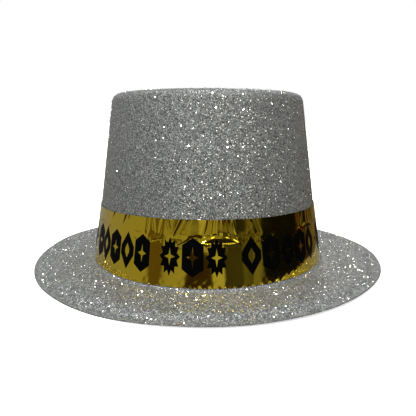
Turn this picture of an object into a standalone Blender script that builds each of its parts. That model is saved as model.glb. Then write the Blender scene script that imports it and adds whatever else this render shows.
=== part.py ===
"""New year party hat: a thermoformed plastic top hat with a glitter skin and a printed foil band.

The hat stands on its brim with the crown up.  Origin: the middle of the footprint, on the floor.
The front of the hat faces -Y.  Every plan outline is an oval whose half depth (Y) is OVAL_OFFSET
more than its half width (X).  Blender units are metres; the dimensions below are millimetres.
"""

import math

import bpy
from mathutils import Vector

MM = 0.001

# Driving dimensions (mm)
OVAL_OFFSET = 13.0             # half depth minus half width, at every height
CROWN_TOP_Z = 122.0            # top face of the plastic shell
CROWN_SHOULDER_HALF_WIDTH = 69.4
CROWN_CORNER_RADIUS = 6.0      # rounded edge between crown wall and top face
CROWN_TAPER = 0.137            # widening of the wall per millimetre downwards
FLARE_START_Z = 46.0           # below this height the wall flares a little more
FLARE_WIDTH = 1.1
BRIM_ROOT_Z = 3.4              # brim surface where it leaves the crown
BRIM_ROLL_Z = 3.2              # brim surface where the rim starts to roll down
BRIM_FILLET_RADIUS = 4.0
BRIM_HALF_WIDTH = 128.3
RIM_ROLL_WIDTH = 9.2           # sloping part of the rim
RIM_FLANGE_WIDTH = 2.8         # flat foot that the hat stands on

SHELL_THICKNESS = 0.5
SKIN_THICKNESS = 0.3
PAD_THICKNESS = 0.3
FOIL_THICKNESS = 0.3
TAPE_THICKNESS = 0.3
GAP = 0.3                      # clearance between pieces that lie on each other

BAND_BOTTOM_Z = 6.2
BAND_TOP_Z = 46.2
BAND_TOP_LEAN = 0.5            # the film leans away from the crown towards its upper edge
LAP_HALF_DEG = 7.0             # the film's two ends overlap this far to each side of the rear
LAP_RAMP_DEG = 5.0             # stretch over which the outer end climbs over the inner end
TAPE_HALF_DEG = 5.5            # the tape reaches this far to each side of the film's outer end
TAPE_STEP_DEG = 0.3            # the tape clears the film's cut end before it steps down
TAPE_RAMP_DEG = 1.5
TAPE_MARGIN = 5.0              # the tape stops this far inside the film's edges

PAD_HEIGHT = 12.0
PAD_MIDDLE_Z = 28.0

SEGMENTS = 64                  # around every oval
SEGMENT_DEG = 360.0 / SEGMENTS
REAR_DEG = 90.0
PAD_MIDDLE_DEG = {             # each pad is two segments wide, and its middle lies on a segment line
    "adhesive_pad_front": -90.0,
    "adhesive_pad_right": -45.0,
    "adhesive_pad_left": 225.0,
    "adhesive_pad_rear": 90.0,
}

# Offsets from the shell's outer surface (mm)
SKIN_INNER = GAP
SKIN_OUTER = SKIN_INNER + SKIN_THICKNESS
PAD_INNER = SKIN_OUTER + GAP
PAD_OUTER = PAD_INNER + PAD_THICKNESS
FOIL_INNER = PAD_OUTER + GAP
FOIL_OUTER = FOIL_INNER + FOIL_THICKNESS
LAP_CLIMB = FOIL_THICKNESS + GAP


def clear_scene():
    for thing in list(bpy.data.objects):
        bpy.data.objects.remove(thing, do_unlink=True)


def wall_half_width(z):
    """Half width of the shell's outer surface at height z on the crown wall."""
    shoulder_z = CROWN_TOP_Z - CROWN_CORNER_RADIUS
    width = CROWN_SHOULDER_HALF_WIDTH + CROWN_TAPER * (shoulder_z - z)
    if z < FLARE_START_Z:
        depth = (FLARE_START_Z - z) / FLARE_START_Z
        width += FLARE_WIDTH * depth ** 2
    return width


def corner_arc(steps=4):
    """Rounded crown edge, from the flat top face down to the wall."""
    middle_x = CROWN_SHOULDER_HALF_WIDTH - CROWN_CORNER_RADIUS
    middle_z = CROWN_TOP_Z - CROWN_CORNER_RADIUS
    last = math.radians(90.0) - math.atan(CROWN_TAPER)
    points = []
    for i in range(steps + 1):
        turn = last * i / steps
        points.append((middle_x + CROWN_CORNER_RADIUS * math.sin(turn),
                       middle_z + CROWN_CORNER_RADIUS * math.cos(turn)))
    return points


def wall_points(lowest_z, steps=4):
    """Crown wall below the shoulder: straight, then a gentle flare."""
    points = []
    for i in range(steps):
        z = FLARE_START_Z + (lowest_z - FLARE_START_Z) * i / steps
        points.append((wall_half_width(z), z))
    return points


def fillet_arc(steps=4):
    """Hollow curve between the crown wall and the brim."""
    first = math.atan(CROWN_TAPER + 2.0 * FLARE_WIDTH / FLARE_START_Z)
    radius = BRIM_FILLET_RADIUS
    start_z = BRIM_ROOT_Z + radius * (1.0 - math.sin(first))
    middle_x = wall_half_width(start_z) + radius * math.cos(first)
    points = []
    for i in range(steps + 1):
        turn = first + (math.radians(90.0) - first) * i / steps
        points.append((middle_x - radius * math.cos(turn),
                       BRIM_ROOT_Z + radius * (1.0 - math.sin(turn))))
    return points


def rim_points(steps=5):
    """Rim: a soft S-curve down to the flat foot, then out to the trimmed edge."""
    roll_start = BRIM_HALF_WIDTH - RIM_FLANGE_WIDTH - RIM_ROLL_WIDTH
    foot_z = SHELL_THICKNESS
    points = []
    for i in range(steps + 1):
        along = i / steps
        fall = along * along * (3.0 - 2.0 * along)
        points.append((roll_start + RIM_ROLL_WIDTH * along,
                       BRIM_ROLL_Z + (foot_z - BRIM_ROLL_Z) * fall))
    points.append((BRIM_HALF_WIDTH, foot_z))
    return points


def hat_profile():
    """Outer surface of the shell as (half width, height), from the top face out to the brim's edge."""
    fillet = fillet_arc()
    return corner_arc() + wall_points(fillet[0][1]) + fillet + rim_points()


def offset_profile(profile, distance):
    """The profile moved outwards by distance, with mitred corners and plumb ends."""
    moved = []
    count = len(profile)
    for i, (x, z) in enumerate(profile):
        before = profile[max(i - 1, 0)]
        after = profile[min(i + 1, count - 1)]
        first = Vector((x - before[0], z - before[1]))
        second = Vector((after[0] - x, after[1] - z))
        if i == 0:
            first = Vector((1.0, 0.0))
        if i == count - 1:
            second = first
        first.normalize()
        second.normalize()
        first_normal = Vector((-first.y, first.x))
        second_normal = Vector((-second.y, second.x))
        mitre = (first_normal + second_normal).normalized()
        reach = distance / mitre.dot(second_normal)
        moved.append((x + mitre.x * reach, z + mitre.y * reach))
    return moved


def oval_point(half_width, z, degrees):
    """A point on the oval of this half width, in metres."""
    turn = math.radians(degrees)
    return (half_width * math.cos(turn) * MM,
            (half_width + OVAL_OFFSET) * math.sin(turn) * MM,
            z * MM)


def make_object(name, vertices, faces, material, sharp_degrees=35.0):
    """One smooth-shaded mesh object with its material."""
    mesh = bpy.data.meshes.new(name)
    mesh.from_pydata(vertices, [], faces)
    mesh.validate()
    mesh.update()
    mesh.shade_smooth()
    mesh.set_sharp_from_angle(angle=math.radians(sharp_degrees))
    mesh.materials.append(material)
    piece = bpy.data.objects.new(name, mesh)
    bpy.context.collection.objects.link(piece)
    return piece


def make_material(name, colour, roughness, metallic=0.0):
    material = bpy.data.materials.new(name)
    material.use_nodes = True
    shader = material.node_tree.nodes["Principled BSDF"]
    shader.inputs["Base Color"].default_value = (*colour, 1.0)
    shader.inputs["Roughness"].default_value = roughness
    shader.inputs["Metallic"].default_value = metallic
    return material


def add_oval_sheet(name, outer, inner, material):
    """A closed sheet between two profiles: capped at the crown's top, joined at the brim's edge."""
    loops = list(outer) + list(reversed(inner))
    vertices = []
    for half_width, z in loops:
        for step in range(SEGMENTS):
            vertices.append(oval_point(half_width, z, 360.0 * step / SEGMENTS))
    faces = [tuple(range(SEGMENTS))]
    for row in range(len(loops) - 1):
        upper = row * SEGMENTS
        lower = upper + SEGMENTS
        for step in range(SEGMENTS):
            after = (step + 1) % SEGMENTS
            faces.append((upper + step, lower + step, lower + after, upper + after))
    last = (len(loops) - 1) * SEGMENTS
    faces.append(tuple(last + step for step in reversed(range(SEGMENTS))))
    return make_object(name, vertices, faces, material)


def add_hat_shell():
    """The one-piece plastic crown and brim; it is open underneath for the head."""
    plastic = make_material("grey_plastic", (0.20, 0.20, 0.20), 0.5)
    outer = hat_profile()
    inner = offset_profile(outer, -SHELL_THICKNESS)
    return add_oval_sheet("hat_shell", outer, inner, plastic)


def add_glitter_skin():
    """The glitter-covered film that lies on the whole outside of the shell."""
    glitter = make_material("silver_glitter", (0.45, 0.45, 0.43), 0.35, 0.8)
    profile = hat_profile()
    outer = offset_profile(profile, SKIN_OUTER)
    inner = offset_profile(profile, SKIN_INNER)
    return add_oval_sheet("glitter_skin", outer, inner, glitter)


def lean(z):
    """Extra distance between film and crown at height z."""
    up = (z - BAND_BOTTOM_Z) / (BAND_TOP_Z - BAND_BOTTOM_Z)
    return BAND_TOP_LEAN * up ** 2


def spread(top, bottom, steps):
    """Evenly spaced heights from top down to bottom."""
    return [top + (bottom - top) * i / steps for i in range(steps + 1)]


def segment_lines(start, end):
    """The segment lines' angles between start and end, so that stacked pieces share their facets."""
    first = math.ceil(start / SEGMENT_DEG)
    last = math.floor(end / SEGMENT_DEG)
    return [i * SEGMENT_DEG for i in range(first, last + 1)]


def add_patch(name, columns, heights, material, leans=False):
    """A curved strip on the crown wall.

    Each column is (degrees, inner offset, outer offset), measured from the shell's outer surface.
    """
    vertices = []
    for degrees, inner, outer in columns:
        for z in heights:
            surface = wall_half_width(z) + (lean(z) if leans else 0.0)
            vertices.append(oval_point(surface + outer, z, degrees))
        for z in reversed(heights):
            surface = wall_half_width(z) + (lean(z) if leans else 0.0)
            vertices.append(oval_point(surface + inner, z, degrees))
    ring = 2 * len(heights)
    faces = [tuple(reversed(range(ring)))]
    for column in range(len(columns) - 1):
        start = column * ring
        for i in range(ring):
            after = (i + 1) % ring
            faces.append((start + i, start + after, start + ring + after, start + ring + i))
    last = (len(columns) - 1) * ring
    faces.append(tuple(last + i for i in range(ring)))
    return make_object(name, vertices, faces, material)


def add_foil_band():
    """The printed metallised film: one strip right round the crown, its ends overlapping at the rear."""
    gold = make_material("gold_foil", (0.62, 0.50, 0.08), 0.12, 1.0)
    start = REAR_DEG - LAP_HALF_DEG
    end = REAR_DEG + LAP_HALF_DEG + 360.0
    lap_start = start + 360.0
    own_angles = {start, REAR_DEG + LAP_HALF_DEG, lap_start - LAP_RAMP_DEG, lap_start, end}
    columns = []
    for degrees in sorted(own_angles | set(segment_lines(start, end))):
        ramp = (degrees - lap_start) / LAP_RAMP_DEG + 1.0
        climb = LAP_CLIMB * min(max(ramp, 0.0), 1.0)
        columns.append((degrees, FOIL_INNER + climb, FOIL_OUTER + climb))
    heights = spread(BAND_TOP_Z, BAND_BOTTOM_Z, 4)
    return add_patch("foil_band", columns, heights, gold, leans=True)


def add_lap_tape():
    """The strip of clear tape that holds the film's outer end down."""
    clear = make_material("clear_tape", (0.75, 0.75, 0.70), 0.25)
    film_end = REAR_DEG + LAP_HALF_DEG
    start = film_end - TAPE_HALF_DEG
    end = film_end + TAPE_HALF_DEG
    step_down = film_end + TAPE_STEP_DEG
    step_foot = step_down + TAPE_RAMP_DEG
    columns = []
    for degrees in sorted({start, film_end, step_down, step_foot, end} | set(segment_lines(start, end))):
        ramp = (step_foot - degrees) / TAPE_RAMP_DEG
        climb = LAP_CLIMB * min(max(ramp, 0.0), 1.0)
        inner = FOIL_OUTER + climb + GAP
        columns.append((degrees, inner, inner + TAPE_THICKNESS))
    heights = spread(BAND_TOP_Z - TAPE_MARGIN, BAND_BOTTOM_Z + TAPE_MARGIN, 3)
    return add_patch("lap_tape", columns, heights, clear, leans=True)


def add_adhesive_pads():
    """Double-sided pads between the glitter skin and the film."""
    foam = make_material("adhesive_foam", (0.80, 0.80, 0.78), 0.8)
    heights = spread(PAD_MIDDLE_Z + PAD_HEIGHT / 2.0, PAD_MIDDLE_Z - PAD_HEIGHT / 2.0, 2)
    pads = []
    for name, middle in PAD_MIDDLE_DEG.items():
        angles = (middle - SEGMENT_DEG, middle, middle + SEGMENT_DEG)
        columns = [(degrees, PAD_INNER, PAD_OUTER) for degrees in angles]
        pads.append(add_patch(name, columns, heights, foam))
    return pads


def main():
    clear_scene()
    hat = bpy.data.objects.new("party_hat", None)
    bpy.context.collection.objects.link(hat)
    pieces = [add_hat_shell(), add_glitter_skin(), add_foil_band(), add_lap_tape()]
    pieces += add_adhesive_pads()
    for piece in pieces:
        piece.parent = hat


main()
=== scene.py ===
"""Looks for the new year party hat: glitter skin, plastic shell, printed foil band and tape.

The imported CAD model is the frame.  Shapes are worked out in millimetres and turned into metres when a
mesh is made.  The front of the hat faces -Y, and angles are in degrees from +X, as in the CAD model.
"""

import math

import bpy
import numpy as np
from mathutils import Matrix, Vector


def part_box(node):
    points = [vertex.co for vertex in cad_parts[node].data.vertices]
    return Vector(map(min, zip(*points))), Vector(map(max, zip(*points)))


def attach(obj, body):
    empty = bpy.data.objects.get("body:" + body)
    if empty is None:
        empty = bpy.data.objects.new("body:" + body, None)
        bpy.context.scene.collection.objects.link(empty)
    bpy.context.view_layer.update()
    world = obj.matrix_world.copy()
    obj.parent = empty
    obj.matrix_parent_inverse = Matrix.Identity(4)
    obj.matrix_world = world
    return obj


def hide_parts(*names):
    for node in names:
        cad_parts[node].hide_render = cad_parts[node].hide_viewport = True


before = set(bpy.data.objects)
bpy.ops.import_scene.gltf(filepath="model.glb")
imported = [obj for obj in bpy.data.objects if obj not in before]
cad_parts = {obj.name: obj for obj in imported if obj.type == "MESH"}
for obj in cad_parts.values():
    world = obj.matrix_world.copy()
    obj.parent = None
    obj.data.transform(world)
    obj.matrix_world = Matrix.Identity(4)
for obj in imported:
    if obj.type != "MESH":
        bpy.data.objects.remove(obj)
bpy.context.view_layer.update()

MM = 0.001

# Outline of the hat (mm); widths and heights come from the frame
SKIN_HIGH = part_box("glitter_skin")[1]
BAND_LOW, BAND_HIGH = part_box("foil_band")
HALF_WIDTH = SKIN_HIGH.x / MM
OVAL_OFFSET = SKIN_HIGH.y / MM - HALF_WIDTH
SKIN_OFFSET = 0.6              # skin's outer surface, outside the shell's outer surface
CROWN_TOP_Z = SKIN_HIGH.z / MM - SKIN_OFFSET
CROWN_SHOULDER_HALF_WIDTH = 69.4
CROWN_CORNER_RADIUS = 6.0
CROWN_TAPER = 0.137
FLARE_START_Z = 46.0
FLARE_WIDTH = 1.1
BRIM_ROOT_Z = 3.4
BRIM_ROLL_Z = 3.2
BRIM_FILLET_RADIUS = 4.0
RIM_ROLL_WIDTH = 9.2
RIM_FLANGE_WIDTH = 2.8
SHELL_THICKNESS = 0.5
SKIN_GAP = 0.1                 # the skin closes on the shell, with only a hair's gap
SKIN_EDGE = 0.5                # the skin is turned down over the cut edge of the brim
SKIN_EDGE_SINK = 0.32          # how much thinner the skin gets towards that edge
SKIN_EDGE_NEAR = (7.0, 1.0)    # it starts and stops thinning this far from the edge
SKIN_EDGE_FOOT_Z = 0.06        # where the turned-down skin ends, before the brim's warp

# Slight warp of the thin brim (mm at its edge) and waves of the crown's wall
BRIM_CURL = 0.96
BRIM_TWIST = 1.13
BRIM_LIFT = 0.65
BRIM_EDGE_LIFT = 0.3
# Height, waves around the hat, phase; the wall's waves also twist by an angle for each mm of height
BRIM_RIPPLES = ((0.18, 7.0, 0.6), (0.12, 11.0, 2.1))
WALL_WAVES = ((0.16, 3.0, 1.3, 0.02), (0.10, 5.0, -0.7, -0.03))
WALL_WAVE_FADE = 8.0           # they fade out over this height below the crown's top

BAND_BOTTOM_Z = BAND_LOW.z / MM
BAND_TOP_Z = BAND_HIGH.z / MM
BAND_HEIGHT = BAND_TOP_Z - BAND_BOTTOM_Z
FOIL_OFFSET = 1.15             # film's outer surface, outside the shell's outer surface
FILM_LOW = -0.35               # deepest dent of the film, and the least it stands out over a pad
FILM_LOW_OVER_PAD = 0.24
FOOT_FLARE = 0.45              # the film's foot opens out where it sags on to the brim's fillet
FOOT_FLARE_Z = 5.8
FOOT_FLARE_HEIGHT = 0.8
PAD_BULGE = 0.32               # the film stands this much farther out over a pad
FOIL_THICKNESS = 0.12
FILM_DROP_LEFT = 2.0           # the straight strip sags towards the sides of the taper (mm, top edge)
FILM_DROP_RIGHT = 1.4
FILM_DROP_POWER = 2.2          # how closely the sag keeps to the sides
FILM_DROP_FOOT = 0.55          # how much of the sag the foot has
FILM_EDGE_WAVE = 0.2           # slow wave in the film's height
LAP_HALF_DEG = 7.0             # the film's ends overlap this far to each side of the rear
LAP_RAMP_DEG = 5.0             # stretch over which the outer end climbs over the inner end
LAP_CLIMB = 0.5
LAP_CALM_DEG = (8.0, 20.0)     # the film is smooth near its lap and has its full relief beyond
FRONT_DEG = 270.0
REAR_DEG = 90.0
PAD_MIDDLES_DEG = (REAR_DEG, 225.0, FRONT_DEG, 315.0, REAR_DEG + 360.0)
PAD_MIDDLE = 0.555             # as a share of the film's height
PAD_COVER_DEG = (6.2, 9.0)     # the film lies on a pad this near its middle, and is free of it beyond
PAD_COVER_SHARE = (0.18, 0.24)
BULGE_MIDDLE, BULGE_HALF = 0.545, 0.45
BULGE_DEG = (6.5, 13.0)        # the bulge over a pad is full this near its middle, and gone beyond

FORMED_CREASE_DEG = 40.0       # edges sharper than this aren't shaded smooth
FILM_CREASE_DEG = 60.0
SEGMENTS = 224                 # around the shell and the skin
CORNER_STEPS, WALL_STEPS, FILLET_STEPS, BRIM_STEPS, ROLL_STEPS = 11, 38, 9, 10, 12
TOP_FACE_RINGS = (0.18, 0.4, 0.6, 0.8, 0.93)


def smooth(value, low, high):
    """0 below low, 1 above high, with a smooth rise between."""
    t = np.clip((value - low) / (high - low), 0.0, 1.0)
    return t * t * (3.0 - 2.0 * t)


def bump(value, middle, half):
    """A smooth hill: 1 in the middle and 0 beyond half to either side."""
    return 1.0 - smooth(np.abs(value - middle), 0.0, half)


# ---------------------------------------------------------------- hat outline

def wall_half_width(z):
    """Half width of the shell's outer surface at height z; z may be an array."""
    z = np.asarray(z, float)
    width = CROWN_SHOULDER_HALF_WIDTH + CROWN_TAPER * (CROWN_TOP_Z - CROWN_CORNER_RADIUS - z)
    below = np.clip((FLARE_START_Z - z) / FLARE_START_Z, 0.0, None)
    return width + FLARE_WIDTH * below ** 2


def hat_profile():
    """Shell's outer surface as rows of (half width, height), from the top face out to the edge."""
    rows = []
    corner_x = CROWN_SHOULDER_HALF_WIDTH - CROWN_CORNER_RADIUS
    corner_z = CROWN_TOP_Z - CROWN_CORNER_RADIUS
    last = math.radians(90.0) - math.atan(CROWN_TAPER)
    for turn in np.linspace(0.0, last, CORNER_STEPS):
        rows.append((corner_x + CROWN_CORNER_RADIUS * math.sin(turn),
                     corner_z + CROWN_CORNER_RADIUS * math.cos(turn)))
    first = math.atan(CROWN_TAPER + 2.0 * FLARE_WIDTH / FLARE_START_Z)
    fillet_top = BRIM_ROOT_Z + BRIM_FILLET_RADIUS * (1.0 - math.sin(first))
    for z in np.linspace(rows[-1][1], fillet_top, WALL_STEPS)[1:-1]:
        rows.append((float(wall_half_width(z)), z))
    fillet_x = float(wall_half_width(fillet_top)) + BRIM_FILLET_RADIUS * math.cos(first)
    for turn in np.linspace(first, math.radians(90.0), FILLET_STEPS):
        rows.append((fillet_x - BRIM_FILLET_RADIUS * math.cos(turn),
                     BRIM_ROOT_Z + BRIM_FILLET_RADIUS * (1.0 - math.sin(turn))))
    roll_start = HALF_WIDTH - RIM_FLANGE_WIDTH - RIM_ROLL_WIDTH
    for along in np.linspace(0.0, 1.0, BRIM_STEPS)[1:-1]:
        rows.append((fillet_x + (roll_start - fillet_x) * along,
                     BRIM_ROOT_Z + (BRIM_ROLL_Z - BRIM_ROOT_Z) * along))
    for along in np.linspace(0.0, 1.0, ROLL_STEPS):
        fall = smooth(along, 0.0, 1.0)
        rows.append((roll_start + RIM_ROLL_WIDTH * along,
                     BRIM_ROLL_Z + (SHELL_THICKNESS - BRIM_ROLL_Z) * fall))
    rows.append((HALF_WIDTH - 0.5 * RIM_FLANGE_WIDTH, SHELL_THICKNESS))
    rows.append((HALF_WIDTH, SHELL_THICKNESS))
    return np.array(rows)


def offset_profile(profile, distance):
    """The profile moved outwards by distance, along its normals; its two ends move plumb."""
    step = np.gradient(profile, axis=0)
    step[0] = (1.0, 0.0)
    step[-1] = (1.0, 0.0)
    step /= np.linalg.norm(step, axis=1, keepdims=True)
    normal = np.stack([-step[:, 1], step[:, 0]], axis=1)
    return profile + normal * distance


def brim_share(half_width):
    """0 on the crown, rising to 1 at the brim's edge."""
    root = float(wall_half_width(BRIM_ROOT_Z)) + BRIM_FILLET_RADIUS
    return np.clip((half_width - root) / (HALF_WIDTH - root), 0.0, 1.0)


def warp(half_width, turn):
    """Height added to a point: the thin brim isn't quite flat."""
    edge = BRIM_LIFT + BRIM_CURL * np.cos(turn) ** 2 - BRIM_TWIST * np.sin(2.0 * turn)
    ripple = sum(height * np.sin(waves * turn + phase) for height, waves, phase in BRIM_RIPPLES)
    share = brim_share(half_width)
    return share ** 1.6 * edge + share ** 2.5 * (ripple + BRIM_EDGE_LIFT)


def dent(half_width, z, turn):
    """Outward shift of the thin wall: a formed sheet is never a perfect cone."""
    height = np.clip((z - BAND_TOP_Z) / (CROWN_TOP_Z - BAND_TOP_Z), 0.0, 1.0)
    on_wall = np.clip((CROWN_TOP_Z - z) / WALL_WAVE_FADE, 0.0, 1.0)
    wave = sum(depth * np.sin(waves * turn + phase + twist * z)
               for depth, waves, phase, twist in WALL_WAVES)
    return wave * height * on_wall


def oval(half_width, z, turn):
    """Points on the oval of this half width, in mm; the arguments may be arrays."""
    wide = half_width + dent(half_width, z, turn)
    return np.stack([wide * np.cos(turn),
                     (wide + OVAL_OFFSET) * np.sin(turn),
                     z + warp(half_width, turn)], axis=-1)


# ---------------------------------------------------------------- mesh making

def make_piece(name, vertices, faces, material, crease_degrees=None):
    """A mesh object from points in mm, riding on the hat; flat shaded if no crease angle is given."""
    mesh = bpy.data.meshes.new(name)
    mesh.from_pydata((np.asarray(vertices) * MM).tolist(), [], faces)
    mesh.validate()
    mesh.update()
    if crease_degrees is not None:
        mesh.shade_smooth()
        mesh.set_sharp_from_angle(angle=math.radians(crease_degrees))
    mesh.materials.append(material)
    piece = bpy.data.objects.new(name, mesh)
    bpy.context.scene.collection.objects.link(piece)
    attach(piece, "root")
    return piece


def sheet_mesh(outer, inner, segments):
    """Closed sheet between two profiles, with rings on the top face that end in a middle point."""
    turns = np.arange(segments) * (2.0 * math.pi / segments)

    def rings(profile):
        top = np.array([(profile[0, 0] * share + OVAL_OFFSET * (share - 1.0) * 0.5, profile[0, 1])
                        for share in TOP_FACE_RINGS])
        return np.concatenate([top, profile])

    loops = np.concatenate([rings(outer), rings(inner)[::-1]])
    grid = oval(loops[:, :1], loops[:, 1:], turns[None, :])
    count = len(loops)
    vertices = grid.reshape(-1, 3).tolist()
    faces = []
    for row in range(count - 1):
        upper = row * segments
        lower = upper + segments
        for step in range(segments):
            after = (step + 1) % segments
            faces.append((upper + step, lower + step, lower + after, upper + after))
    middle_top = len(vertices)
    vertices.append((0.0, 0.0, float(outer[0, 1])))
    vertices.append((0.0, 0.0, float(inner[0, 1])))
    last = (count - 1) * segments
    for step in range(segments):
        after = (step + 1) % segments
        faces.append((middle_top, step, after))
        faces.append((middle_top + 1, last + after, last + step))
    return vertices, faces


# ---------------------------------------------------------------- materials

def grey(value):
    """A colour with its alpha, as node inputs take it."""
    return (value, value, value, 1.0)


class Nodes:
    """A short way to write a node tree: a new material's, or one that is given."""

    def __init__(self, name=None, tree=None):
        if tree is None:
            self.material = bpy.data.materials.new(name)
            self.material.use_nodes = True
            tree = self.material.node_tree
            self.shader = tree.nodes["Principled BSDF"]
        self.tree = tree

    def add(self, kind, inputs=None, **settings):
        node = self.tree.nodes.new(kind)
        for key, value in settings.items():
            setattr(node, key, value)
        for key, value in (inputs or {}).items():
            self.set(node, key, value)
        return node

    def set(self, node, key, value):
        socket = node.inputs[key]
        if isinstance(value, bpy.types.NodeSocket):
            self.tree.links.new(value, socket)
        else:
            socket.default_value = value

    def math(self, operation, first, second=0.0, third=None, clamp=False):
        node = self.add("ShaderNodeMath", {0: first, 1: second}, operation=operation, use_clamp=clamp)
        if third is not None:
            self.set(node, 2, third)
        return node.outputs[0]

    def vector(self, operation, first, second=(0.0, 0.0, 0.0), scale=None):
        node = self.add("ShaderNodeVectorMath", {0: first, 1: second}, operation=operation)
        if scale is not None:
            self.set(node, "Scale", scale)
        return node.outputs[1 if operation in ("LENGTH", "DISTANCE", "DOT_PRODUCT") else 0]

    def ramp(self, value, stops):
        """Colours at rising positions; a single number stands for a grey."""
        node = self.add("ShaderNodeValToRGB", {"Fac": value})
        band = node.color_ramp
        while len(band.elements) > 1:
            band.elements.remove(band.elements[-1])
        for i, (position, colour) in enumerate(stops):
            stop = band.elements[0] if i == 0 else band.elements.new(position)
            stop.position = position
            stop.color = (*colour, 1.0) if isinstance(colour, tuple) else grey(colour)
        return node.outputs["Color"]

    def mix(self, factor, first, second, blend="MIX"):
        node = self.add("ShaderNodeMix", data_type="RGBA", blend_type=blend)
        self.set(node, 0, factor)
        self.set(node, 6, first)
        self.set(node, 7, second)
        return node.outputs[2]

    def object_point(self):
        return self.add("ShaderNodeTexCoord").outputs["Object"]

    def noise(self, scale, detail=2.0, vector=None):
        node = self.add("ShaderNodeTexNoise", {
            "Vector": vector or self.object_point(), "Scale": scale, "Detail": detail})
        return node.outputs["Fac"]

    def dimples(self, strength, height):
        node = self.add("ShaderNodeBump", {"Strength": strength, "Distance": 0.0002, "Height": height})
        return node.outputs["Normal"]

    def principled(self, **values):
        for key, value in values.items():
            self.set(self.shader, key.replace("_", " ").title().replace("Ior", "IOR"), value)
        return self.material


GLITTER_CELLS_PER_M = {"fine": 2250.0, "coarse": 1300.0, "clump": 1000.0}
LEVEL_NORMAL_Z = 0.6           # surfaces that face up more than this count as level: the brim and the top
# Plain tone of the walls, and a faint bluish light cast painted on the faces that look up (the brim and the
# top)
WALL_TONE = 0.92
LEVEL_PAINTED_COOL_CAST = (1.02, 1.03, 1.05)
LARGE_SHARE = 0.12             # of the coarse cells, holding one large flake each
LARGE_RADIUS = 0.45            # as a share of its cell
LARGE_COLOUR = (0.80, 0.80, 0.78)
GLITTER_TILT = 0.85
FINE_ROUGHNESS, LARGE_ROUGHNESS = 0.42, 0.14
WALL_METALLIC, LEVEL_METALLIC, LARGE_METALLIC = 0.66, 0.30, 1.0


def glitter_material():
    """Silver glitter: fine flakes, each with its own tilt and brightness, and some large bright ones."""
    nodes = Nodes("silver_glitter")
    point = nodes.object_point()
    fine, coarse, clump = [nodes.add("ShaderNodeTexVoronoi", {"Vector": point, "Scale": scale})
                           for scale in GLITTER_CELLS_PER_M.values()]
    tone, lot, clump = [nodes.add("ShaderNodeTexWhiteNoise", {"Vector": cells.outputs["Color"]})
                        for cells in (fine, coarse, clump)]
    normal = nodes.add("ShaderNodeNewGeometry").outputs["Normal"]
    facing_up = nodes.vector("DOT_PRODUCT", normal, (0.0, 0.0, 1.0))
    level = nodes.math("GREATER_THAN", facing_up, LEVEL_NORMAL_Z)
    flake = nodes.ramp(tone.outputs["Value"], [
        (0.0, (0.048, 0.050, 0.048)), (0.4, (0.110, 0.115, 0.109)),
        (0.8, (0.19, 0.197, 0.187)), (1.0, (0.42, 0.43, 0.415))])
    # Faces that look up get random clumps of glitter tone and a painted cool light cast; the walls get the
    # plain wall tone instead
    clumps_and_painted_cast = nodes.ramp(clump.outputs["Value"], [(0.0, 0.62), (0.6, 0.80), (0.9, 1.2), (1.0, 1.6)])
    clumps_and_painted_cast = nodes.mix(1.0, clumps_and_painted_cast, (*LEVEL_PAINTED_COOL_CAST, 1.0), "MULTIPLY")
    clumps_and_painted_cast = nodes.mix(level, grey(WALL_TONE), clumps_and_painted_cast)
    flake = nodes.mix(1.0, flake, clumps_and_painted_cast, "MULTIPLY")
    chosen = nodes.math("GREATER_THAN", lot.outputs["Value"], 1.0 - LARGE_SHARE)
    near = nodes.math("LESS_THAN", coarse.outputs["Distance"], LARGE_RADIUS)
    large = nodes.math("MULTIPLY", chosen, near)
    colour = nodes.mix(large, flake, (*LARGE_COLOUR, 1.0))
    tilt = nodes.mix(large, fine.outputs["Color"], coarse.outputs["Color"])
    tilt = nodes.vector("SUBTRACT", tilt, (0.5, 0.5, 0.5))
    tilt = nodes.vector("SCALE", tilt, scale=GLITTER_TILT)
    tilted = nodes.vector("NORMALIZE", nodes.vector("ADD", normal, tilt))
    rough = nodes.mix(large, grey(FINE_ROUGHNESS), grey(LARGE_ROUGHNESS))
    metal = nodes.mix(level, grey(WALL_METALLIC), grey(LEVEL_METALLIC))
    metal = nodes.mix(large, metal, grey(LARGE_METALLIC))
    return nodes.principled(base_color=colour, metallic=metal, roughness=rough, normal=tilted)


def flake_material(name, colour, roughness):
    return Nodes(name).principled(base_color=(*colour, 1.0), metallic=1.0, roughness=roughness)


def plastic_material():
    """The inside of the formed sheet: dull grey, a little cloudy, with a fine grain."""
    nodes = Nodes("grey_plastic")
    grain = nodes.noise(900.0)
    colour = nodes.ramp(nodes.noise(28.0, 3.0), [(0.3, (0.145, 0.145, 0.150)), (0.7, 0.215)])
    rough = nodes.math("MULTIPLY_ADD", grain, 0.25, 0.33)
    return nodes.principled(base_color=colour, roughness=rough, normal=nodes.dimples(0.25, grain))


def foil_material():
    """Mirror-gold metallised film, with a faint ripple and slightly uneven gloss."""
    nodes = Nodes("gold_foil")
    colour = nodes.ramp(nodes.noise(35.0), [(0.3, (0.78, 0.555, 0.022)), (0.7, (0.84, 0.61, 0.034))])
    ripple = nodes.dimples(0.12, nodes.noise(260.0))
    rough = nodes.math("MULTIPLY_ADD", nodes.noise(120.0, 3.0), 0.06, 0.035)
    return nodes.principled(base_color=colour, metallic=1.0, roughness=rough, coat_weight=0.2,
                            coat_roughness=0.05, normal=ripple)


def ink_material():
    """Black ink with the faintest mottling, and much less gloss than the film."""
    nodes = Nodes("black_ink")
    colour = nodes.ramp(nodes.noise(700.0, 3.0), [(0.35, 0.0004), (0.7, 0.0010)])
    return nodes.principled(base_color=colour, roughness=0.30, specular_ior_level=0.02)


# ---------------------------------------------------------------- hat body

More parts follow.
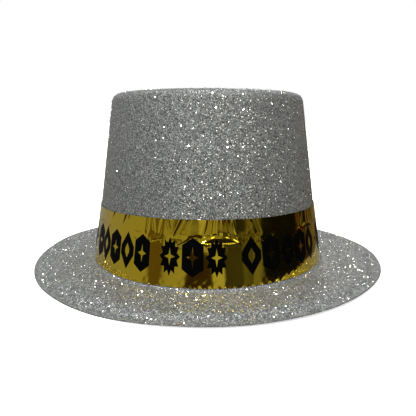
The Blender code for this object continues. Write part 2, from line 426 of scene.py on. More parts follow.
def add_hat_body():
    """The plastic shell and the glitter skin over it; gives back the outline of the skin's outside."""
    profile = hat_profile()
    shell_inner = offset_profile(profile, -SHELL_THICKNESS)
    profile[-1, 0] -= SKIN_EDGE
    shell_inner[-1, 0] -= SKIN_EDGE
    skin_outer = offset_profile(profile, SKIN_OFFSET)
    near_edge = smooth(skin_outer[:, 0], *(HALF_WIDTH - far for far in SKIN_EDGE_NEAR))
    skin_outer[:, 1] -= SKIN_EDGE_SINK * near_edge
    skin_inner = offset_profile(profile, SKIN_GAP)
    # Over the brim's edge, down it and back in under it
    foot_x = HALF_WIDTH - 0.7 * SKIN_EDGE
    turned = [(HALF_WIDTH - 0.1, SHELL_THICKNESS + 0.18), (HALF_WIDTH, SHELL_THICKNESS),
              (HALF_WIDTH, SKIN_EDGE_FOOT_Z), (foot_x, SKIN_EDGE_FOOT_Z),
              (foot_x, SHELL_THICKNESS + SKIN_GAP)]
    skin_outer = np.concatenate([skin_outer, turned])
    vertices, faces = sheet_mesh(profile, shell_inner, SEGMENTS)
    shell = make_piece("plastic_shell", vertices, faces, plastic_material(),
                       FORMED_CREASE_DEG)
    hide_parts("hat_shell")
    vertices, faces = sheet_mesh(skin_outer, skin_inner, SEGMENTS)
    skin = make_piece("glitter_cover", vertices, faces, glitter_material(),
                      FORMED_CREASE_DEG)
    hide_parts("glitter_skin")
    return skin_outer


def surface_grid(profile, segments):
    """Points and unit normals on a fine grid over the hat's outer surface, top face left out."""
    turns = np.arange(segments + 1) * (2.0 * math.pi / segments)
    grid = oval(profile[:, :1], profile[:, 1:], turns[None, :])
    down = np.gradient(grid, axis=0)
    along = np.gradient(grid, axis=1)
    normal = np.cross(down, along)
    normal /= np.linalg.norm(normal, axis=-1, keepdims=True)
    return grid, normal


FLAKE_SEED = 20
FLAKE_GRID_SEGMENTS = 240
CROWN_REACH = 95.0             # half width (mm) that the crown, its foot and the film stay inside
BRIM_START = 90.0              # half width from which a flake counts as lying on the brim
RIM_CLEARANCE = 0.45           # no flakes this close above the turned edge
# Count, colour, roughness, and how much denser the flakes lie on the brim
FLAKE_KINDS = {
    "flakes_bright": (8600, (0.96, 0.96, 0.94), 0.13, 1.0),
    "flakes_soft": (9000, (0.85, 0.86, 0.84), 0.26, 7.0),
    "flakes_grey": (9000, (0.22, 0.225, 0.215), 0.35, 7.0),
}
TOP_FACE_SHARE = 1.0 / 6.0     # of the flakes, divided by how much denser they lie on the brim
FLAKE_TILT = 0.20              # spread of the tilt, which is cut off at the limit
FLAKE_TILT_LIMIT = 0.38
LEVEL_FLAKE_Z = 0.7            # a flake whose place faces up more than this stands up steeper
LEVEL_FLAKE_TILT = 4.5
FLAKE_RADIUS, FLAKE_RADIUS_SPREAD = 0.27, 0.32
FLAKE_RADIUS_LIMITS = (0.16, 0.62)
FLAKE_THICKNESS = 0.05
FLAKE_SIDES = 6


def flake_area(profile, grid):
    """Area open to flakes in each cell of the grid: none under the film or at the rim."""
    corner = [grid[:-1, :-1], grid[1:, :-1], grid[:-1, 1:]]
    area = np.linalg.norm(np.cross(corner[1] - corner[0], corner[2] - corner[0]), axis=-1)
    z_middle = profile[:-1, 1] * 0.5 + profile[1:, 1] * 0.5
    margin_below, margin_above = 0.8, 0.6
    under_band = (z_middle > BAND_BOTTOM_Z - margin_below) & (z_middle < BAND_TOP_Z + margin_above)
    area[under_band & (profile[:-1, 0] < CROWN_REACH)] = 0.0
    area[z_middle < SHELL_THICKNESS + RIM_CLEARANCE] = 0.0
    return area


def add_flakes(profile):
    """Larger loose flakes: small hexagonal mirrors that stand a little proud of the skin."""
    rng = np.random.default_rng(FLAKE_SEED)
    grid, normal = surface_grid(profile, FLAKE_GRID_SEGMENTS)
    area = flake_area(profile, grid)
    on_brim = np.broadcast_to(profile[:-1, :1] > BRIM_START, area.shape)
    for name, (count, colour, roughness, brim_weight) in FLAKE_KINDS.items():
        weighted = area * np.where(on_brim, brim_weight, 1.0)
        shares = (weighted / weighted.sum()).ravel()
        cell = rng.choice(len(shares), size=count, p=shares)
        row, step = np.unravel_index(cell, area.shape)
        u, v = rng.random((2, count, 1))
        place = (grid[row, step] * (1 - u) * (1 - v) + grid[row + 1, step] * u * (1 - v)
                 + grid[row, step + 1] * (1 - u) * v + grid[row + 1, step + 1] * u * v)
        facing = (normal[row, step] * (1 - u) + normal[row + 1, step] * u)
        top_count = int(count * TOP_FACE_SHARE / brim_weight)
        place, facing = add_top_face(rng, profile, place, facing, top_count)
        steeper = np.where(facing[:, 2:3] > LEVEL_FLAKE_Z, LEVEL_FLAKE_TILT, 1.0)
        tilt = rng.normal(0.0, FLAKE_TILT, (count, 3))
        facing = facing + np.clip(tilt, -FLAKE_TILT_LIMIT, FLAKE_TILT_LIMIT) * steeper
        facing /= np.linalg.norm(facing, axis=1, keepdims=True)
        radius = rng.lognormal(math.log(FLAKE_RADIUS), FLAKE_RADIUS_SPREAD, (count, 1))
        radius = np.clip(radius, *FLAKE_RADIUS_LIMITS)
        vertices, faces = hex_flakes(rng, place, facing, radius)
        make_piece(name, vertices, faces, flake_material(name, colour, roughness))


def add_top_face(rng, profile, place, facing, count):
    """Moves the last flakes of the list on to the crown's flat top face."""
    reach = np.sqrt(rng.random(count))
    turn = rng.random(count) * 2.0 * math.pi
    wide = profile[0, 0] * reach
    place[-count:, 0] = wide * np.cos(turn)
    place[-count:, 1] = (profile[0, 0] + OVAL_OFFSET) * reach * np.sin(turn)
    place[-count:, 2] = profile[0, 1]
    facing[-count:] = (0.0, 0.0, 1.0)
    return place, facing


def hex_flakes(rng, place, facing, radius):
    """One closed six-sided plate for each place."""
    count = len(place)
    helper = rng.normal(size=(count, 3))
    side = np.cross(facing, helper)
    side /= np.linalg.norm(side, axis=1, keepdims=True)
    other = np.cross(facing, side)
    rings = []
    for level in (0.0, FLAKE_THICKNESS):
        for i in range(FLAKE_SIDES):
            turn = i * 2.0 * math.pi / FLAKE_SIDES
            rings.append(place + facing * level + (side * math.cos(turn) + other * math.sin(turn)) * radius)
    vertices = np.stack(rings, axis=1).reshape(-1, 3)
    faces = []
    for flake in range(count):
        low = flake * 2 * FLAKE_SIDES
        high = low + FLAKE_SIDES
        faces.append(tuple(low + i for i in reversed(range(FLAKE_SIDES))))
        faces.append(tuple(high + i for i in range(FLAKE_SIDES)))
        for i in range(FLAKE_SIDES):
            after = (i + 1) % FLAKE_SIDES
            faces.append((low + i, low + after, high + after, high + i))
    return vertices, faces


# ---------------------------------------------------------------- foil band

FRONT_REACH_DEG = 95.0         # how far the front part of the film reaches to each side
FRONT_STEP_DEG = 0.55
REAR_STEP_DEG = 0.9
# Where the film is gathered or creased its columns are closer: (middle, half width, step) in degrees
FINE_ZONES = [(4.0, 10.5, 0.16), (47.5, 8.0, 0.25), (-33.0, 19.0, 0.22), (18.0, 4.0, 0.3)]


def strip_angles():
    """Angles of the film's columns: close in the fine zones, wider elsewhere and widest at the rear."""
    start = REAR_DEG - LAP_HALF_DEG
    end = REAR_DEG + LAP_HALF_DEG + 360.0
    angles = [start]
    while angles[-1] < end:
        here = angles[-1] - FRONT_DEG
        step = FRONT_STEP_DEG if abs(here) < FRONT_REACH_DEG else REAR_STEP_DEG
        for middle, half, fine_step in FINE_ZONES:
            if abs(here - middle) < half:
                step = min(step, fine_step)
        angles.append(angles[-1] + step)
    angles[-1] = end
    return np.array(angles)


def strip_length(angles, z):
    """Length along the film from the middle of the front, in mm, rising towards +X at the front."""
    fine = np.radians(np.arange(0.0, 480.0, 0.25))
    half = float(wall_half_width(z)) + FOIL_OFFSET
    x = half * np.cos(fine)
    y = (half + OVAL_OFFSET) * np.sin(fine)
    length = np.concatenate([[0.0], np.cumsum(np.hypot(np.diff(x), np.diff(y)))])
    at = np.interp(np.radians(angles), fine, length)
    return at - np.interp(math.radians(FRONT_DEG), fine, length)


# Slanting dents of the film: middle and lean along it, width (mm), foot and top (shares), depth (mm)
STREAKS = [
    (-67.5, 2.5, 0.8, 0.76, 0.95, 0.14), (-49.0, -3.0, 1.2, 0.80, 1.0, 0.15),
    (-39.0, 1.5, 0.9, 0.72, 1.04, 0.26), (-34.5, -2.0, 1.1, 0.74, 1.0, 0.22),
    (-29.5, 2.5, 1.3, 0.70, 1.0, 0.24), (-24.0, -2.0, 1.0, 0.80, 1.0, 0.16),
    (-18.0, 6.0, 1.2, 0.70, 1.0, 0.26), (-13.5, 4.0, 0.9, 0.76, 1.0, 0.18),
    (-14.0, 12.0, 1.3, 0.58, 0.74, 0.34), (-36.0, 14.0, 1.0, 0.60, 0.70, 0.20),
    (-43.0, -12.0, 0.8, 0.52, 0.66, 0.14), (31.0, -5.0, 1.6, 0.70, 1.0, 0.22),
    (25.5, 3.0, 0.9, 0.72, 0.92, 0.14), (41.0, 9.0, 1.0, 0.64, 0.78, 0.16),
    (120.0, 4.0, 1.4, 0.70, 1.0, 0.2), (-120.0, -4.0, 1.6, 0.70, 1.0, 0.2),
]
# Patches of the top edge that stand off the wall: middle, lean, half width (mm), foot (share), depth (mm)
GAPES = [(-76.5, 5.0, 1.9, 0.74, 0.50), (-62.5, 5.0, 2.3, 0.72, 0.70), (-57.5, 4.0, 1.0, 0.80, 0.35)]
# Gathered slack: middle and half widths at top and foot (mm), foot (share), pleats, their depth (share)
POCKETS = [(7.4, 8.0, 13.0, 0.655, 5.0, 0.20), (81.0, 9.0, 13.0, 0.70, 4.0, 0.26),
           (195.0, 5.0, 9.0, 0.68, 5.0, 0.12), (-168.0, 4.0, 8.0, 0.70, 5.0, 0.12)]
BELL_FLARE = 1.7               # how fast the bell's sides spread towards its foot
# Heights are shares of the film's, and reaches are shares of the bell's half width
LIP_HEIGHT, LIP_REACH = 0.085, 0.85
LIP_RISE = 0.20                # how far out the lip climbs, as a share of its height
BEAD_HEIGHT, BEAD_WIDTH = 0.20, 0.40   # of the crease at the lip's foot, in mm
BEAD_DROP = 0.010              # the bead runs just below the lip, and its ends turn up
BEAD_END_RISE = 0.35
BEAD_FADE = (0.60, 0.90)
PLEAT_START = 0.04             # height over which the pleats begin above the lip
PLEAT_FADE = (0.85, 1.25)
PLEAT_FOOT_DEPTH = 0.45        # share of their depth left at the bell's foot
PLEAT_MIDDLE_DEPTH = 0.40      # and in its middle, which ends at these reaches
PLEAT_MIDDLE = (0.20, 0.55)


def pocket(s, v, middle, top_half, foot_half, foot, pleats, depth):
    """The film's slack gathered under its top edge: a bell of pleats over a lip and a sharp crease.

    The bell is foot_half wide at its foot and top_half at the edge.  The pleats fade out past its sides
    and are shallower in its middle.
    """
    up = np.clip((v - foot) / (1.0 - foot), 0.0, 1.0)
    half = top_half + (foot_half - top_half) * (1.0 - up) ** BELL_FLARE
    across = (s - middle) / half
    lip = LIP_HEIGHT * np.clip(1.0 - (across / LIP_REACH) ** 2, 0.0, 1.0)
    body = LIP_RISE * BAND_HEIGHT * np.clip(v - foot, 0.0, lip)
    folds = 0.5 + 0.5 * np.cos(across * pleats * math.pi + 0.5 * np.sin(across * 5.0))
    fold_depth = smooth(v, foot + lip, foot + lip + PLEAT_START)
    fold_depth *= PLEAT_FOOT_DEPTH + (1.0 - PLEAT_FOOT_DEPTH) * up
    fold_depth *= 1.0 - smooth(np.abs(across), *PLEAT_FADE)
    fold_depth *= PLEAT_MIDDLE_DEPTH + (1.0 - PLEAT_MIDDLE_DEPTH) * smooth(np.abs(across), *PLEAT_MIDDLE)
    crease = (v - foot + BEAD_DROP) * BAND_HEIGHT - BEAD_END_RISE * across ** 4
    bead = BEAD_HEIGHT * np.exp(-(crease / BEAD_WIDTH) ** 2) * (1.0 - smooth(np.abs(across), *BEAD_FADE))
    return body - depth * half / pleats * fold_depth * folds ** 0.7 + bead


def streak(s, v, middle, lean, width, foot, top, depth):
    """One slanting dent; lean is its shift along the film from foot to top."""
    along = (v - foot) / (top - foot)
    line = middle + lean * (along - 0.5)
    ends = smooth(along, 0.0, 0.35) * (1.0 - smooth(along, 0.9, 1.25))
    return -depth * ends * np.exp(-((s - line) / width) ** 2)


def gape(s, v, middle, lean, half, foot, depth):
    """The film's top edge stands off the wall over a slanting patch, so that the patch faces down."""
    along = np.clip((v - foot) / (1.0 - foot), 0.0, 1.0)
    across = np.abs(s - middle - lean * (along - 0.5)) / half
    return depth * along * (1.0 - smooth(across, 0.45, 1.0))


RIDGE_MIDDLE = 0.735           # height of the ridge, as a share of the film's
RIDGE_STEP = 0.16
CRINKLE = 0.035                # depth of the fine crinkles


def film_relief(s, v):
    """Outward relief of the film in mm; s is the length along it and v goes from 0, foot, to 1, top."""
    ridge = RIDGE_MIDDLE + 0.02 * np.sin(s / 8.0 + 0.5) + 0.012 * np.sin(s / 3.1)
    # Waves, from long to short
    relief = 0.10 * np.sin(s / 7.4 + 0.7) * (0.5 + 0.5 * v)
    relief += 0.05 * np.sin(s / 3.9 + 1.9 + 1.2 * v)
    relief += 0.02 * np.sin(s / 1.9 + 5.0 * v + np.sin(s / 11.0))
    # The step at the ridge, and the crinkles along it, below it and at the foot
    relief += RIDGE_STEP * smooth(v, ridge, ridge + 0.05) * (1.0 - 0.5 * smooth(v, 0.8, 1.0))
    relief += 0.05 * np.sin(s / 2.3 + 9.0 * v) * bump(v, ridge, 0.08)
    relief += CRINKLE * np.sin(s * 2.1 + 40.0 * v) * np.sin(s / 1.3 - 30.0 * v) * bump(v, 0.66, 0.10)
    relief += CRINKLE * np.sin(s / 0.9 + 4.0 * np.sin(26.0 * v)) * (1.0 - smooth(v, 0.08, 0.22))
    for shape, rows in ((pocket, POCKETS), (gape, GAPES), (streak, STREAKS)):
        for row in rows:
            relief += shape(s, v, *row)
    return relief


class Film:
    """The film's outer surface: rows from its foot to its top edge, columns along it."""

    def __init__(self):
        self.angles = strip_angles()
        # The rows are closest where the crease under the pockets runs
        self.heights = np.concatenate([np.linspace(0.0, 0.62, 20), np.linspace(0.632, 0.676, 12),
                                       np.linspace(0.69, 1.0, 27)])
        self.s = strip_length(self.angles, 0.5 * (BAND_TOP_Z + BAND_BOTTOM_Z))
        self.points = self.surface()
        self.normals = grid_normals(self.points)

    def surface(self):
        """Points of the film in mm; the level directions out of the oval go into self.outward."""
        angles = self.angles
        lap_start = REAR_DEG - LAP_HALF_DEG + 360.0
        climb = LAP_CLIMB * np.clip((angles - lap_start) / LAP_RAMP_DEG + 1.0, 0.0, 1.0)
        off_lap = smooth(np.abs(angles - (REAR_DEG + 360.0)), *LAP_CALM_DEG)
        off_lap *= smooth(np.abs(angles - REAR_DEG), *LAP_CALM_DEG)
        v = self.heights[:, None]
        side = np.cos(np.radians(angles))
        drop = np.where(side < 0.0, FILM_DROP_LEFT, FILM_DROP_RIGHT) * np.abs(side) ** FILM_DROP_POWER
        edge = FILM_EDGE_WAVE * np.sin(self.s / 9.0 + 1.0) * off_lap
        drop = drop * (FILM_DROP_FOOT + (1.0 - FILM_DROP_FOOT) * v)
        z = BAND_BOTTOM_Z + BAND_HEIGHT * v - drop + edge * (v - 0.5)
        bulge = PAD_BULGE * near_pads(angles, *BULGE_DEG) * bump(v, BULGE_MIDDLE, BULGE_HALF)
        relief = film_relief(self.s, v) * off_lap + bulge
        over_pad = near_pads(angles, *PAD_COVER_DEG)
        over_pad = over_pad * (1.0 - smooth(np.abs(v - PAD_MIDDLE), *PAD_COVER_SHARE))
        relief = np.maximum(relief, FILM_LOW + (FILM_LOW_OVER_PAD - FILM_LOW) * over_pad)
        relief += FOOT_FLARE * np.clip((FOOT_FLARE_Z - z) / FOOT_FLARE_HEIGHT, 0.0, 1.0) ** 2
        half = wall_half_width(z) + FOIL_OFFSET + climb + relief
        turn = np.radians(angles)
        self.outward = np.stack([np.cos(turn) / half, np.sin(turn) / (half + OVAL_OFFSET),
                                 np.zeros_like(half)], axis=-1)
        self.outward /= np.linalg.norm(self.outward, axis=-1, keepdims=True)
        return np.stack([half * np.cos(turn), (half + OVAL_OFFSET) * np.sin(turn), z], axis=-1)

    def at(self, column, v, lift):
        """Points at fractional columns and heights v, lifted off the film by lift."""
        row = np.interp(v, self.heights, np.arange(len(self.heights)))
        j = np.clip(column.astype(int), 0, len(self.s) - 2)
        i = np.clip(row.astype(int), 0, len(self.heights) - 2)
        fj = (column - j)[..., None]
        fi = (row - i)[..., None]

        def blend(grid):
            return (grid[i, j] * (1 - fi) * (1 - fj) + grid[i, j + 1] * (1 - fi) * fj
                    + grid[i + 1, j] * fi * (1 - fj) + grid[i + 1, j + 1] * fi * fj)

        return blend(self.points) + blend(self.outward) * lift


def near_pads(angles, full, none):
    """1 within full degrees of a pad's middle, falling to 0 at none degrees."""
    off_pad = np.min([np.abs(angles - middle) for middle in PAD_MIDDLES_DEG], axis=0)
    return 1.0 - smooth(off_pad, full, none)


def grid_normals(points):
    """Unit normals of a grid of points, facing out of the hat."""
    along = np.gradient(points, axis=1)
    up = np.gradient(points, axis=0)
    normal = np.cross(along, up)
    return normal / np.linalg.norm(normal, axis=-1, keepdims=True)


def closed_patch(outer, inner):
    """Closed sheet between two grids of points of the same size."""
    rows, columns = outer.shape[:2]
    vertices = np.concatenate([outer.reshape(-1, 3), inner.reshape(-1, 3)])
    back = rows * columns
    faces = []
    for i in range(rows - 1):
        for j in range(columns - 1):
            a = i * columns + j
            b = a + 1
            c = b + columns
            d = a + columns
            faces.append((a, b, c, d))
            faces.append((back + d, back + c, back + b, back + a))
    rim = list(range(columns - 1))
    rim += [i * columns + columns - 1 for i in range(rows - 1)]
    rim += [(rows - 1) * columns + j for j in range(columns - 1, 0, -1)]
    rim += [i * columns for i in range(rows - 1, 0, -1)]
    for here, after in zip(rim, rim[1:] + rim[:1]):
        faces.append((after, here, back + here, back + after))
    return vertices, faces


def add_foil_band(film):
    """The film as one closed strip, thickened inwards."""
    inner = film.points - film.normals * FOIL_THICKNESS
    vertices, faces = closed_patch(film.points, inner)
    band = make_piece("gold_foil_band", vertices, faces, foil_material(), FILM_CREASE_DEG)
    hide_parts("foil_band")


# ---------------------------------------------------------------- print on the band

MOTIF_HEIGHT = 23.2
MOTIF_MIDDLE = 0.45            # as a share of the film's height
OUTLINE_POINTS = 96
RING_STEPS = 10
PRINT_LIFTS = (0.13, 0.05)     # the ink's outer and inner layers, off the film
MOTIF_FILL = 0.92              # of the pitch
REPEAT_LENGTH = 200.0          # the print begins again after this length of film


def outline(corners):
    """Evenly many points on each side of a closed polygon."""
    corners = np.array(corners, float)
    per_side = OUTLINE_POINTS // len(corners)
    points = []
    for i, corner in enumerate(corners):
        after = corners[(i + 1) % len(corners)]
        for j in range(per_side):
            points.append(corner + (after - corner) * j / per_side)
    return np.array(points)


def star(points_count, inner):
    """Corners of a star whose hollows reach out as far as inner."""
    corners = []
    for i in range(2 * points_count):
        turn = math.pi * i / points_count
        reach = inner if i % 2 else 1.0
        corners.append((reach * math.sin(turn), reach * math.cos(turn)))
    return corners


CRYSTAL = [(0.0, 1.0), (1.0, 0.62), (1.0, -0.62), (0.0, -1.0), (-1.0, -0.62), (-1.0, 0.62)]
LOZENGE = [(0.0, 1.0), (1.0, 0.22), (1.0, -0.22), (0.0, -1.0), (-1.0, -0.22), (-1.0, 0.22)]
DIAMOND = [(0.0, 1.0), (1.0, 0.0), (0.0, -1.0), (-1.0, 0.0)]
SPARKLE = star(4, 0.30)
BURST = star(12, 0.72)
# Outer corners, corners of the hole, and the hole's size as shares of the width and height
MOTIFS = {
    "crystal": (CRYSTAL, SPARKLE, (0.56, 0.56)),
    "diamond": (LOZENGE, LOZENGE, (0.34, 0.42)),
    "burst": (BURST, SPARKLE, (0.52, 0.48)),
    "dash": (DIAMOND, DIAMOND, (0.05, 0.05)),
}
# Rows of motifs: from and to (mm along the film), and what they are
PRINT_GROUPS = [
    (-99.0, -36.0, ["crystal", "diamond", "crystal", "diamond", "crystal"]),
    (-30.0, 12.5, ["burst", "crystal", "burst"]),
    (20.0, 90.0, ["diamond", "crystal", "burst", "crystal", "diamond"]),
]
DASH_MIDDLE, DASH_WIDTH, DASH_HEIGHT = 95.6, 3.6, 2.6


def motif_places(first, last):
    """Every motif of the print as (kind, middle along the film, width, height)."""
    places = []
    repeats = range(math.floor(first / REPEAT_LENGTH) - 1, math.ceil(last / REPEAT_LENGTH) + 2)
    for repeat in repeats:
        shift = repeat * REPEAT_LENGTH
        for start, end, kinds in PRINT_GROUPS:
            pitch = (end - start) / len(kinds)
            for i, kind in enumerate(kinds):
                places.append((kind, shift + start + pitch * (i + 0.5), pitch * MOTIF_FILL, MOTIF_HEIGHT))
        places.append(("dash", shift + DASH_MIDDLE, DASH_WIDTH, DASH_HEIGHT))
    return [place for place in places if first + place[2] < place[1] < last - place[2]]


def add_print(film):
    """The ink as a thin closed layer that follows the film's relief."""
    vertices = []
    faces = []
    for kind, middle, width, height in motif_places(film.s[0], film.s[-1]):
        corners, hole_corners, hole_size = MOTIFS[kind]
        edge = outline(corners)
        hole = outline(hole_corners) * hole_size
        base = len(vertices)
        for lift in PRINT_LIFTS:
            for ring in range(RING_STEPS + 1):
                share = ring / RING_STEPS
                shape = hole + (edge - hole) * share
                at_s = middle + shape[:, 0] * width * 0.5
                at_v = MOTIF_MIDDLE + shape[:, 1] * height * 0.5 / BAND_HEIGHT
                column = np.interp(at_s, film.s, np.arange(len(film.s)))
                vertices.extend(film.at(column, at_v, lift).tolist())
        layer = (RING_STEPS + 1) * OUTLINE_POINTS
        for i in range(OUTLINE_POINTS):
            after = (i + 1) % OUTLINE_POINTS
            for ring in range(RING_STEPS):
                low = base + ring * OUTLINE_POINTS
                high = low + OUTLINE_POINTS
                faces.append((low + i, high + i, high + after, low + after))
                faces.append((layer + low + after, layer + high + after, layer + high + i, layer + low + i))
            outer_edge = base + RING_STEPS * OUTLINE_POINTS
            faces.append((outer_edge + i, layer + outer_edge + i,
                          layer + outer_edge + after, outer_edge + after))
            faces.append((base + after, layer + base + after, layer + base + i, base + i))
    make_piece("band_print", vertices, faces, ink_material(), FILM_CREASE_DEG)


# ---------------------------------------------------------------- tape and pads

TAPE_MARGIN = 5.0
TAPE_HALF_DEG = 5.5
TAPE_LIFT = 0.15               # clear of the ink
TAPE_THICKNESS = 0.06
TAPE_ROWS, TAPE_COLUMNS = 24, 67
TAPE_STEP_DEG = (0.1, 1.3)     # past the film's end, where the tape steps down


def tape_material():
    """Clear tape, hardly milky, with fine streaks along it."""
    nodes = Nodes("clear_tape")
    drawn_out = nodes.vector("MULTIPLY", nodes.object_point(), (1.0, 1.0, 0.1))
    rough = nodes.math("MULTIPLY_ADD", nodes.noise(400.0, vector=drawn_out), 0.2, 0.1)
    return nodes.principled(base_color=(0.22, 0.21, 0.18, 1.0), roughness=rough, alpha=0.09)


def add_tape(film):
    """The tape lies on the film's outer end and steps down from it on to the layer beneath."""
    end = REAR_DEG + LAP_HALF_DEG + 360.0
    angles = np.linspace(end - TAPE_HALF_DEG, end + TAPE_HALF_DEG, TAPE_COLUMNS)
    v = np.linspace(TAPE_MARGIN, BAND_HEIGHT - TAPE_MARGIN, TAPE_ROWS)[:, None] / BAND_HEIGHT
    columns = np.arange(len(film.s))
    over = np.interp(angles, film.angles, columns)
    under = np.interp(angles - 360.0, film.angles, columns)
    on_end = film.at(over, v, TAPE_LIFT)
    past_end = film.at(under, v, TAPE_LIFT + LAP_CLIMB)
    step = smooth(angles - end, *TAPE_STEP_DEG)[:, None]
    surface = np.where((angles > end)[:, None], past_end, on_end) * (1.0 - step)
    surface += film.at(under, v, TAPE_LIFT) * step
    vertices, faces = closed_patch(surface + grid_normals(surface) * TAPE_THICKNESS, surface)
    tape = make_piece("clear_lap_tape", vertices, faces, tape_material(), FILM_CREASE_DEG)
    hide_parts("lap_tape")


def finish_pads():
    """The foam pads keep their CAD shape and get a fine-celled foam finish."""
    nodes = Nodes("adhesive_foam")
    colour = nodes.ramp(nodes.noise(1500.0), [(0.3, (0.62, 0.62, 0.60)), (0.7, (0.84, 0.84, 0.82))])
    foam = nodes.principled(base_color=colour, roughness=0.85)
    for name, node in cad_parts.items():
        if name.startswith("adhesive_pad"):
            node.data.materials.clear()
            node.data.materials.append(foam)


# ---------------------------------------------------------------- stage

CAMERA_DISTANCE = 0.3667
CAMERA_HEIGHT = 0.1031
CAMERA_PITCH_DEG = 10.3
CAMERA_LENS = 41.24
CAMERA_SHIFT = 0.0012
FLOOR_REACH = 30.0
FLOOR_Z = -0.0003              # just under the hat's lowest point
FLOOR_GLOW = 0.45
# Place, what it points at, side of the square (metres) and power (watts)
LIGHTS = {
    "key": ((0.14, -0.88, 0.85), (0.0, 0.0, 0.06), 0.16, 4.0),
    "top": ((-0.05, -0.3, 1.15), (0.0, 0.0, 0.05), 0.3, 6.0),
    "front": ((-0.35, -0.95, 0.45), (0.0, 0.0, 0.06), 0.06, 1.8),
    "left": ((-0.9, -0.2, 0.7), (0.0, 0.0, 0.05), 0.10, 1.5),
    "right": ((1.0, 0.15, 0.7), (0.0, 0.0, 0.05), 0.14, 0.8),
    "rear": ((0.2, 1.0, 0.7), (0.0, 0.0, 0.05), 0.14, 1.9),
}

# The room that mirrors see.  Each wall is a list of (azimuth in degrees from the front, colour)
UPPER_WALL = [
    (-180, 0.30), (-135, 0.30), (-107, 0.27), (-66, 0.29), (-64, (0.10, 0.04, 0.02)),
    (-60, (0.15, 0.13, 0.10)), (-48, 0.12), (-46, 0.28), (-37, 0.27), (-34, 0.07), (-29, 0.07),
    (-26, 0.28), (-22, 0.27), (-20, 0.15), (-12, 0.14), (-10, 0.42), (5, 0.44),
    (8, (0.10, 0.06, 0.03)), (21, (0.07, 0.04, 0.02)), (25, 0.13), (28, 0.012), (42, 0.015),
    (46, (0.14, 0.115, 0.08)), (55, (0.10, 0.08, 0.055)), (59, 0.010)]
UPPER_WALL_FAR = [
    (58, 0.010), (104, 0.006), (108, (0.30, 0.13, 0.05)), (118, (0.22, 0.10, 0.035)), (121, 0.02),
    (124, 0.02), (127, (0.26, 0.16, 0.07)), (134, (0.17, 0.10, 0.04)), (150, (0.15, 0.09, 0.04)),
    (180, 0.30)]
LOWER_WALL = [
    (-180, 0.30), (-140, 0.28), (-66, 0.30), (-63, (0.11, 0.080, 0.045)),
    (-48, (0.10, 0.075, 0.040)), (-45, 0.28), (-26, 0.33), (-23.5, (0.026, 0.015, 0.010)),
    (5, (0.030, 0.018, 0.012)), (8, 0.40), (16, 0.38), (19, 0.035), (36, 0.045), (39, 0.10),
    (49, 0.06), (52, 0.17), (56, 0.14), (59, 0.004)]
LOWER_WALL_FAR = [
    (58, 0.004), (104, 0.004), (108, (0.075, 0.034, 0.013)), (119, (0.060, 0.028, 0.011)),
    (122, 0.012), (127, (0.10, 0.080, 0.035)), (150, (0.14, 0.105, 0.045)), (180, 0.30)]
HIGH_WALL = [
    (-180, 0.60), (-120, 0.40), (-60, 0.24), (-15, 0.27), (30, 0.29), (60, 0.16), (120, 0.20),
    (180, 0.60)]
FAR_START_DEG = 58.5           # azimuth where the far list of a wall takes over from the near one
# Each clamped rise is (slope, offset) over the height of the direction, from -1, down, to 1, up
LOWER_TO_UPPER = (24.0, -0.45)
UPPER_TO_HIGH = (14.0, -1.26)
TO_CEILING = (5.0, -3.5)
TO_FLOOR = (-10.0, -1.5)
WINDOW_AZIMUTH_DEG, WINDOW_HALF_DEG = 40.0, 50.0
WINDOW_MIDDLE, WINDOW_HALF_HEIGHT = 0.36, 0.09
WINDOW_COLOUR = (2.1, 2.0, 1.85)
CEILING_TONE = 0.70
DARK_FLOOR_COLOUR = (0.016, 0.014, 0.012)
LIGHT_ON_MATT = 1.53           # what matt surfaces see is this bright; the camera sees plain white


def add_camera():
    """A close camera in front of the hat, a little above the crown's middle."""
    data = bpy.data.cameras.new("camera")
    data.sensor_width = 36.0
    data.lens = CAMERA_LENS
    data.shift_x = CAMERA_SHIFT
    data.clip_start = 0.01
    camera = bpy.data.objects.new("camera", data)
    camera.location = (0.0, -CAMERA_DISTANCE, CAMERA_HEIGHT)
    camera.rotation_euler = (math.radians(90.0 - CAMERA_PITCH_DEG), 0.0, 0.0)
    bpy.context.scene.collection.objects.link(camera)
    bpy.context.scene.camera = camera


def add_floor():
    """A white floor that glows a little, and that mirrors don't see."""
    mesh = bpy.data.meshes.new("floor")
    corners = [(x * FLOOR_REACH, y * FLOOR_REACH, 0.0) for x, y in ((-1, -1), (1, -1), (1, 1), (-1, 1))]
    mesh.from_pydata(corners, [], [(0, 1, 2, 3)])
    mesh.materials.append(Nodes("studio_floor").principled(
        base_color=grey(0.93), roughness=0.9, specular_ior_level=0.0,
        emission_strength=FLOOR_GLOW, emission_color=grey(1.0)))
    floor = bpy.data.objects.new("floor", mesh)
    floor.location = (0.0, 0.0, FLOOR_Z)
    bpy.context.scene.collection.objects.link(floor)
    floor.visible_glossy = False


def add_lights():
    """Small square lamps, so that the flakes glint sharply."""
    for name, (place, target, side, power) in LIGHTS.items():
        data = bpy.data.lights.new(name, "AREA")
        data.shape = "RECTANGLE"
        data.size = data.size_y = side
        data.energy = power
        lamp = bpy.data.objects.new(name, data)
        lamp.location = place
        direction = np.array(target, float) - np.array(place, float)
        lamp.rotation_euler = Vector(direction).to_track_quat("-Z", "Y").to_euler()
        bpy.context.scene.collection.objects.link(lamp)


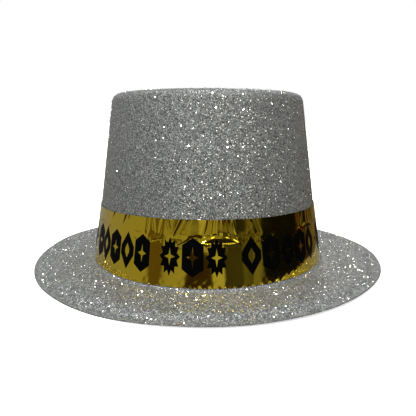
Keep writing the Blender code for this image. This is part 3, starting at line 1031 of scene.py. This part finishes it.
def add_world():
    """White for what the camera and matt surfaces see; a dimmer room for what mirrors see."""
    world = bpy.data.worlds.new("studio")
    bpy.context.scene.world = world
    world.use_nodes = True
    nodes = Nodes(tree=world.node_tree)
    direction = nodes.add("ShaderNodeTexCoord").outputs["Generated"]
    x, y, z = nodes.add("ShaderNodeSeparateXYZ", {0: direction}).outputs
    azimuth = nodes.math("ARCTAN2", x, nodes.math("MULTIPLY", y, -1.0))
    around = nodes.math("MULTIPLY_ADD", azimuth, 0.5 / math.pi, 0.5)

    def wall(stops):
        return nodes.ramp(around, [((degrees + 180.0) / 360.0, colour) for degrees, colour in stops])

    def rise(slope_and_offset):
        return nodes.math("MULTIPLY_ADD", z, *slope_and_offset, clamp=True)

    far = nodes.math("GREATER_THAN", azimuth, math.radians(FAR_START_DEG))
    upper = nodes.mix(far, wall(UPPER_WALL), wall(UPPER_WALL_FAR))
    lower = nodes.mix(far, wall(LOWER_WALL), wall(LOWER_WALL_FAR))
    room = nodes.mix(rise(LOWER_TO_UPPER), lower, upper)
    room = nodes.mix(rise(UPPER_TO_HIGH), room, wall(HIGH_WALL))
    across = nodes.math("COMPARE", azimuth, math.radians(WINDOW_AZIMUTH_DEG), math.radians(WINDOW_HALF_DEG))
    level = nodes.math("COMPARE", z, WINDOW_MIDDLE, WINDOW_HALF_HEIGHT)
    room = nodes.mix(nodes.math("MULTIPLY", across, level), room, (*WINDOW_COLOUR, 1.0))
    room = nodes.mix(rise(TO_CEILING), room, grey(CEILING_TONE))
    room = nodes.mix(rise(TO_FLOOR), room, (*DARK_FLOOR_COLOUR, 1.0))
    rays = nodes.add("ShaderNodeLightPath")
    plain = nodes.mix(rays.outputs["Is Camera Ray"], grey(LIGHT_ON_MATT), grey(1.0))
    background = world.node_tree.nodes["Background"]
    nodes.set(background, "Color", nodes.mix(rays.outputs["Is Glossy Ray"], plain, room))


def main():
    bpy.context.scene.view_settings.view_transform = "Standard"
    add_camera()
    skin_outer = add_hat_body()
    add_flakes(skin_outer)
    film = Film()
    add_foil_band(film)
    add_print(film)
    add_tape(film)
    finish_pads()
    add_floor()
    add_world()
    add_lights()


main()
